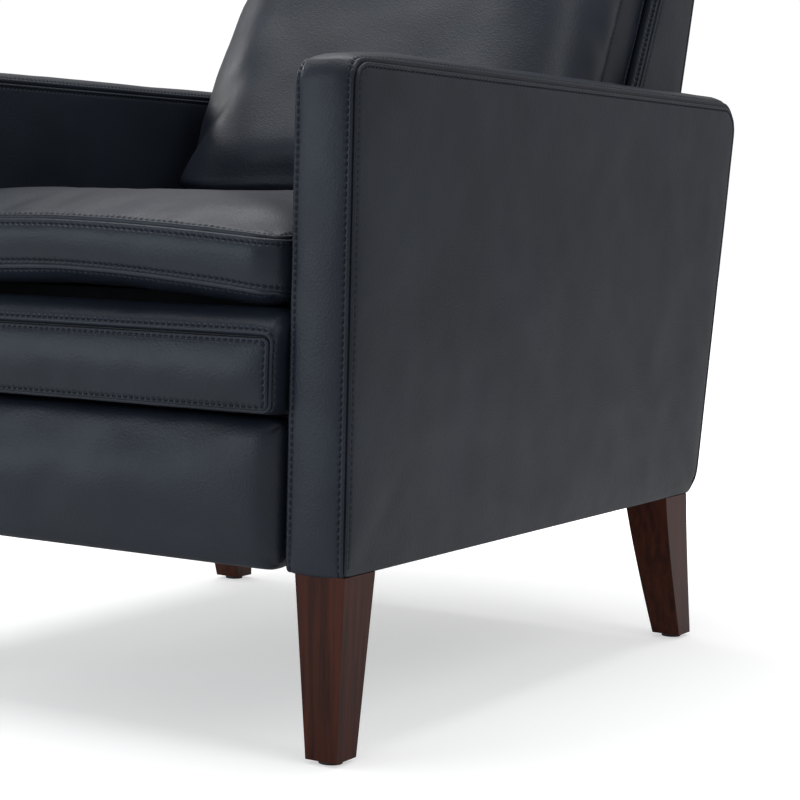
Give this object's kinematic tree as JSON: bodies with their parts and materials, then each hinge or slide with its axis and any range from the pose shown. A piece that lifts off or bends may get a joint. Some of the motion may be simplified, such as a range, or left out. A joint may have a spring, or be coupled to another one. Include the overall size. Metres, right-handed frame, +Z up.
{
  "type": "recliner armchair",
  "caption": "Push-back recliner armchair with slim track arms, boxed leather cushions, a fold-out footrest and tapered wooden legs.",
  "frame": {"origin": "on the floor, under the middle of the chair's box", "axes": "+Z up; the chair faces -Y; +X is the right-hand arm as seen from the front"},
  "size_m": [0.658, 0.9946, 1.008],
  "materials": {
    "leather": "smooth, fine grain, soft sheen",
    "cushion_leather": "smooth, fine grain, soft sheen",
    "foam": "open cell",
    "frame_wood": "raw plywood and hardwood",
    "leg_wood": "dark brown satin stain",
    "steel": "zinc plated",
    "black_steel": "black powder coat",
    "glide_plastic": "moulded",
    "black_cloth": "woven"
  },
  "bodies": {
    "base": {"arm_left_cover": "leather", "arm_right_cover": "leather", "arm_left_foam": "foam", "arm_right_foam": "foam", "arm_left_panel": "frame_wood", "arm_right_panel": "frame_wood", "base_front_rail": "frame_wood", "base_rear_rail": "frame_wood", "rear_apron": "leather", "corner_blocks": "frame_wood", "front_left_leg": "leg_wood", "front_right_leg": "leg_wood", "rear_left_leg": "leg_wood", "rear_right_leg": "leg_wood", "leg_hanger_bolts": "steel", "leg_glides": "glide_plastic", "dust_cover": "black_cloth", "track_left": "black_steel", "track_right": "black_steel", "track_screws": "steel"},
    "seat": {"seat_left_rail": "frame_wood", "seat_right_rail": "frame_wood", "seat_front_rail": "black_cloth", "seat_rear_rail": "frame_wood", "seat_springs": "steel", "spring_clips": "steel", "seat_deck": "black_cloth", "seat_cushion": "cushion_leather", "glide_blocks": "glide_plastic", "mechanism_left_plate": "black_steel", "mechanism_right_plate": "black_steel", "plate_bolts": "steel", "drive_pivot_pins": "steel", "guide_pivot_pins": "steel", "back_pivot_pins": "steel"},
    "back": {"back_left_stile": "leather", "back_right_stile": "leather", "back_top_rail": "leather", "back_lower_rail": "frame_wood", "back_outside_panel": "leather", "back_webbing": "black_cloth", "back_left_bracket": "black_steel", "back_right_bracket": "black_steel", "back_cushion": "cushion_leather"},
    "footrest_drive": {"drive_left_link": "black_steel", "drive_right_link": "black_steel", "torque_tube": "black_steel", "knee_pins": "steel"},
    "footrest_guide": {"guide_left_link": "black_steel", "guide_right_link": "black_steel"},
    "footrest_carrier": {"carrier_left_link": "black_steel", "carrier_right_link": "black_steel", "guide_link_pins": "steel"},
    "footrest": {"footrest_board": "black_cloth", "footrest_brackets": "black_steel", "footrest_pivot_pins": "steel", "footrest_pad": "cushion_leather", "front_panel": "leather"}
  },
  "joints": [
    {"name": "back_recline", "type": "hinge", "parent": "seat", "child": "back", "pos_m": [0, 0.17769, 0.396], "axis": [-1, 0, 0], "range_deg": [0, 30]},
    {"name": "seat_slide", "type": "slide", "parent": "base", "child": "seat", "axis": [0, -1, 0], "range_m": [0, 0.06]},
    {"name": "footrest_extend", "type": "hinge", "parent": "seat", "child": "footrest_drive", "pos_m": [0, -0.35831, 0.335], "axis": [-1, 0, 0], "range_deg": [0, 52]},
    {"name": "footrest_guide", "type": "hinge", "parent": "seat", "child": "footrest_guide", "pos_m": [0, -0.37733, 0.37836], "axis": [-1, 0, 0], "range_deg": [0, 46.4]},
    {"name": "footrest_carry", "type": "hinge", "parent": "footrest_drive", "child": "footrest_carrier", "pos_m": [0, -0.36084, 0.19002], "axis": [1, 0, 0], "range_deg": [0, 104]},
    {"name": "footrest_tip", "type": "hinge", "parent": "footrest_carrier", "child": "footrest", "pos_m": [0, -0.40805, 0.32712], "axis": [-1, 0, 0], "range_deg": [0, 142]}
  ],
  "couplings": [
    {"joint": "seat_slide", "follows": "back_recline", "m_per_rad": 0.1145},
    {"joint": "footrest_guide", "follows": "footrest_extend", "ratio": 0.8915},
    {"joint": "footrest_carry", "follows": "footrest_extend", "ratio": 2},
    {"joint": "footrest_tip", "follows": "footrest_extend", "ratio": 2.7308}
  ]
}
